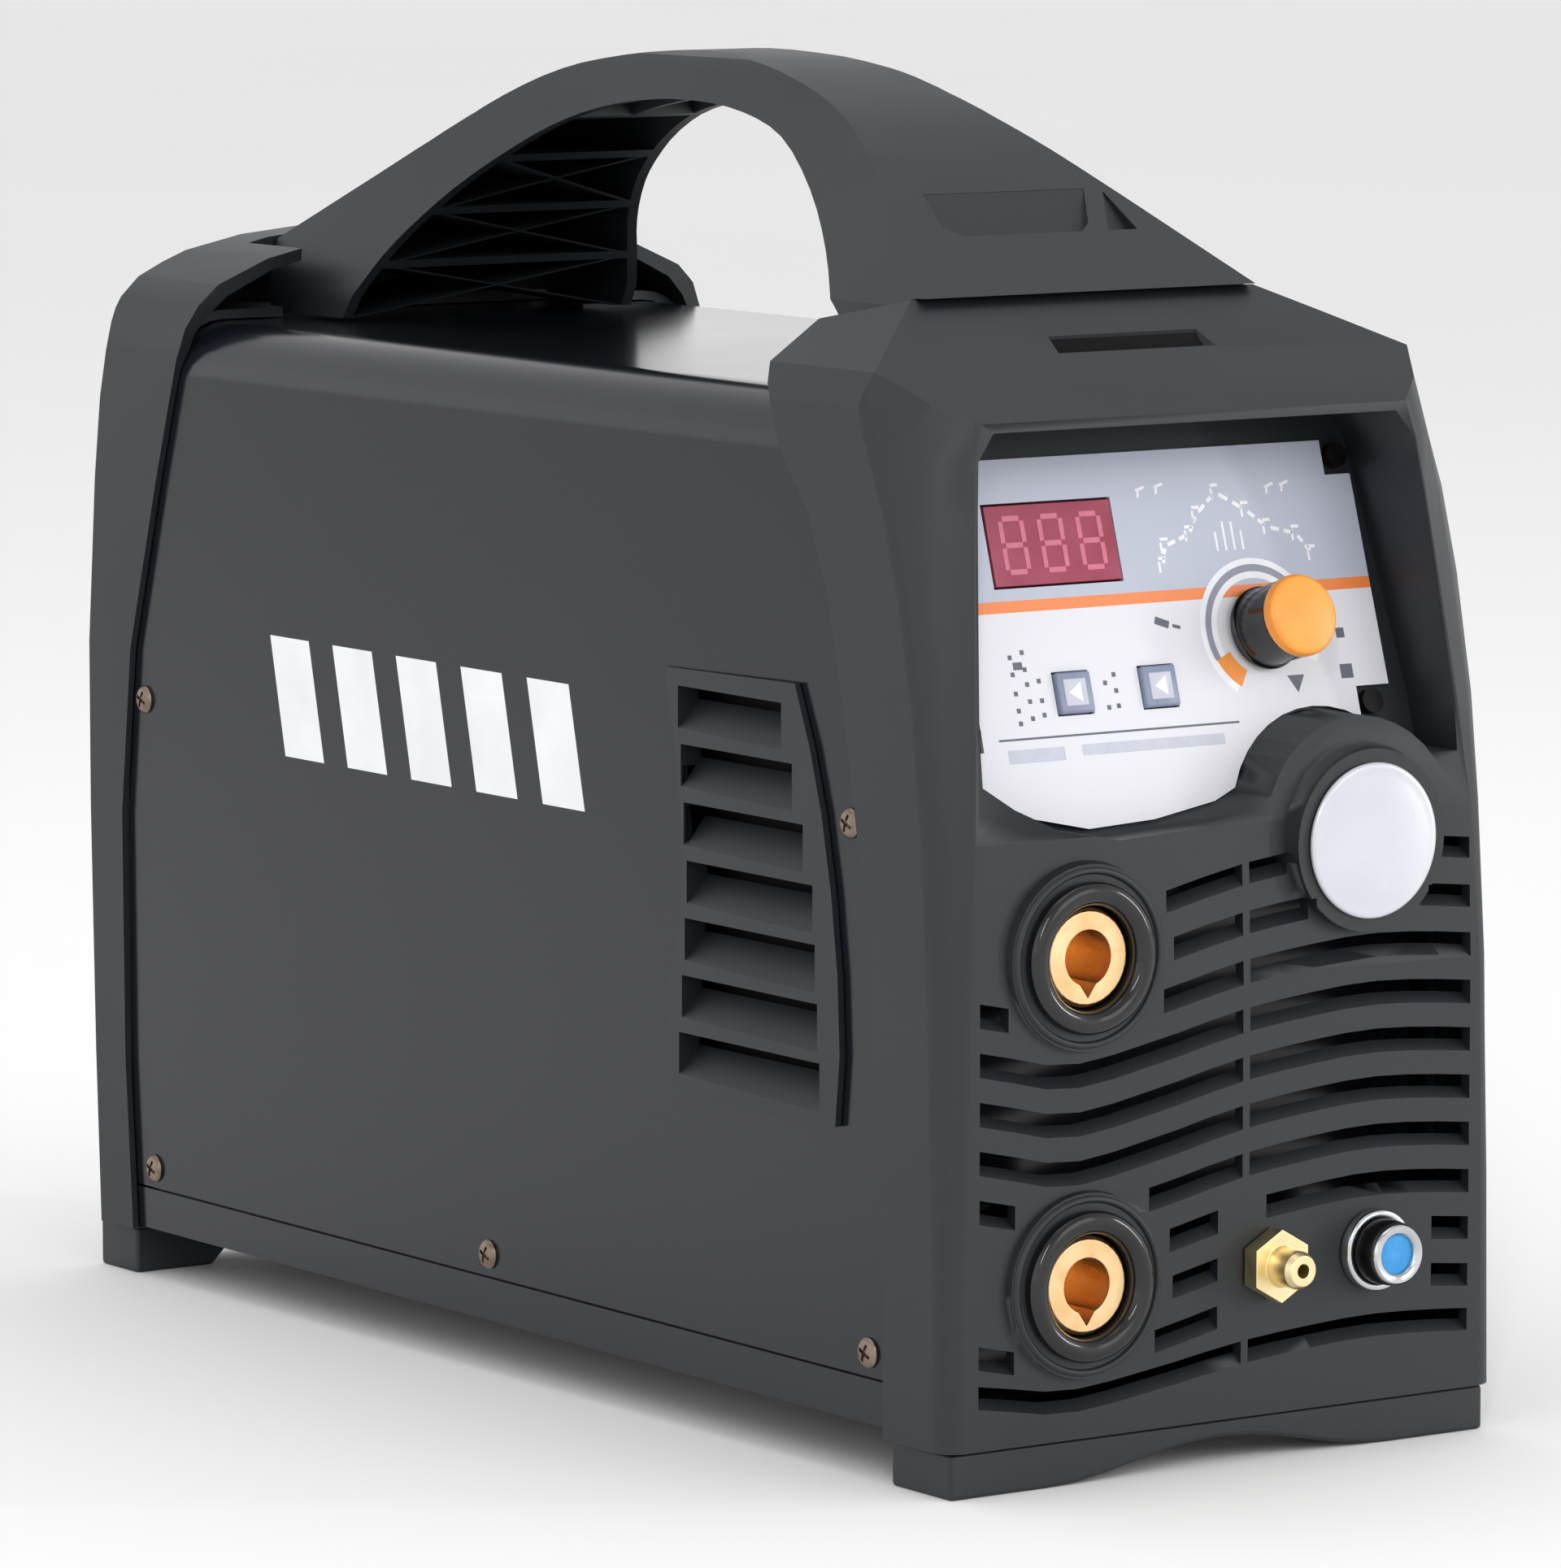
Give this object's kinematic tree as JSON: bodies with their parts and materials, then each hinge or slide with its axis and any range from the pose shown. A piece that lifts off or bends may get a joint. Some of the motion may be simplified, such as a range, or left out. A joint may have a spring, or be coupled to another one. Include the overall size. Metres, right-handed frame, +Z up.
{
  "type": "tig welding machine",
  "caption": "Portable inverter arc welding machine with a vented moulded front, sloping control panel, output sockets and an arched carrying handle.",
  "frame": {"origin": "centre of the overall box in plan, at the level the feet stand on", "axes": "+X to the right seen from the front, +Y from the front panel to the back, +Z up"},
  "size_m": [0.16, 0.413, 0.3213],
  "materials": {
    "charcoal_plastic": "fine grained, injection moulded",
    "black_plastic": "smooth black moulding",
    "label_film": "printed polycarbonate film",
    "display_lens": "red tinted window",
    "orange_plastic": "satin orange cap",
    "cover_steel": "semi-gloss powder coat",
    "socket_brass": "turned brass",
    "fitting_brass": "turned brass",
    "nickel_ring": "nickel plated",
    "blue_insert": "blue moulded contact block",
    "badge_silver": "silver film disc",
    "screw_steel": "zinc plated",
    "guard_wire": "plated wire",
    "switch_red": "red rocker",
    "board_laminate": "glass fibre circuit board",
    "sink_aluminium": "extruded",
    "copper_winding": "copper strip",
    "core_iron": "ferrite core with windings",
    "capacitor_can": "sleeved can",
    "encoder_can": "pressed can",
    "hose_rubber": "reinforced gas hose"
  },
  "bodies": {
    "machine": {"front_bezel": "charcoal_plastic", "control_label": "label_film", "display_module": "display_lens", "encoder": "encoder_can", "control_board": "board_laminate", "socket_collar_upper": "black_plastic", "socket_insert_upper": "socket_brass", "socket_collar_lower": "black_plastic", "socket_insert_lower": "socket_brass", "gas_outlet": "fitting_brass", "torch_socket_shell": "nickel_ring", "torch_socket_insert": "blue_insert", "badge": "badge_silver", "outer_cover": "cover_steel", "base_tray": "cover_steel", "socket_plate": "cover_steel", "side_vent_left": "charcoal_plastic", "side_vent_right": "charcoal_plastic", "rear_bezel": "charcoal_plastic", "rear_panel": "cover_steel", "fan_frame": "black_plastic", "fan_guard": "guard_wire", "power_switch_housing": "black_plastic", "cable_gland": "black_plastic", "gas_inlet": "fitting_brass", "handle": "charcoal_plastic", "front_foot": "charcoal_plastic", "rear_foot": "charcoal_plastic", "heatsink_lower": "sink_aluminium", "heatsink_upper": "sink_aluminium", "main_transformer": "core_iron", "power_board": "board_laminate", "capacitor_left": "capacitor_can", "capacitor_right": "capacitor_can", "arc_start_coil": "copper_winding", "busbar_upper": "copper_winding", "busbar_lower": "copper_winding", "solenoid_valve": "fitting_brass", "gas_hose_rear": "hose_rubber", "gas_hose_front": "hose_rubber", "panel_screw_1": "screw_steel", "panel_screw_2": "screw_steel", "panel_screw_3": "screw_steel", "panel_screw_4": "screw_steel", "cover_screw_left_1": "screw_steel", "cover_screw_left_2": "screw_steel", "cover_screw_left_3": "screw_steel", "cover_screw_left_4": "screw_steel", "cover_screw_left_5": "screw_steel", "cover_screw_right_1": "screw_steel", "cover_screw_right_2": "screw_steel", "cover_screw_right_3": "screw_steel", "cover_screw_right_4": "screw_steel", "cover_screw_right_5": "screw_steel"},
    "knob": {"knob_body": "black_plastic", "knob_cap": "orange_plastic"},
    "left_button": {"button_left": "label_film"},
    "right_button": {"button_right": "label_film"},
    "switch_rocker": {"power_switch_rocker": "switch_red"},
    "rotor": {"fan_rotor": "black_plastic"}
  },
  "joints": [
    {"name": "knob_turn", "type": "hinge", "parent": "machine", "child": "knob", "pos_m": [0.0277, -0.16662, 0.19097], "axis": [0, -0.9563, 0.2924], "continuous": true},
    {"name": "button_left_press", "type": "slide", "parent": "machine", "child": "left_button", "axis": [0, 0.9563, -0.2924], "range_m": [0, 0.001], "stiffness_N_per_m": 900, "springref_m": -0.0005},
    {"name": "button_right_press", "type": "slide", "parent": "machine", "child": "right_button", "axis": [0, 0.9563, -0.2924], "range_m": [0, 0.001], "stiffness_N_per_m": 900, "springref_m": -0.0005},
    {"name": "power_switch", "type": "hinge", "parent": "machine", "child": "switch_rocker", "pos_m": [-0.042, 0.1829, 0.058], "axis": [0, 0, 1], "range_deg": [0, 22]},
    {"name": "fan_spin", "type": "hinge", "parent": "machine", "child": "rotor", "pos_m": [0, 0.1615, 0.148], "axis": [0, 1, 0], "continuous": true}
  ]
}
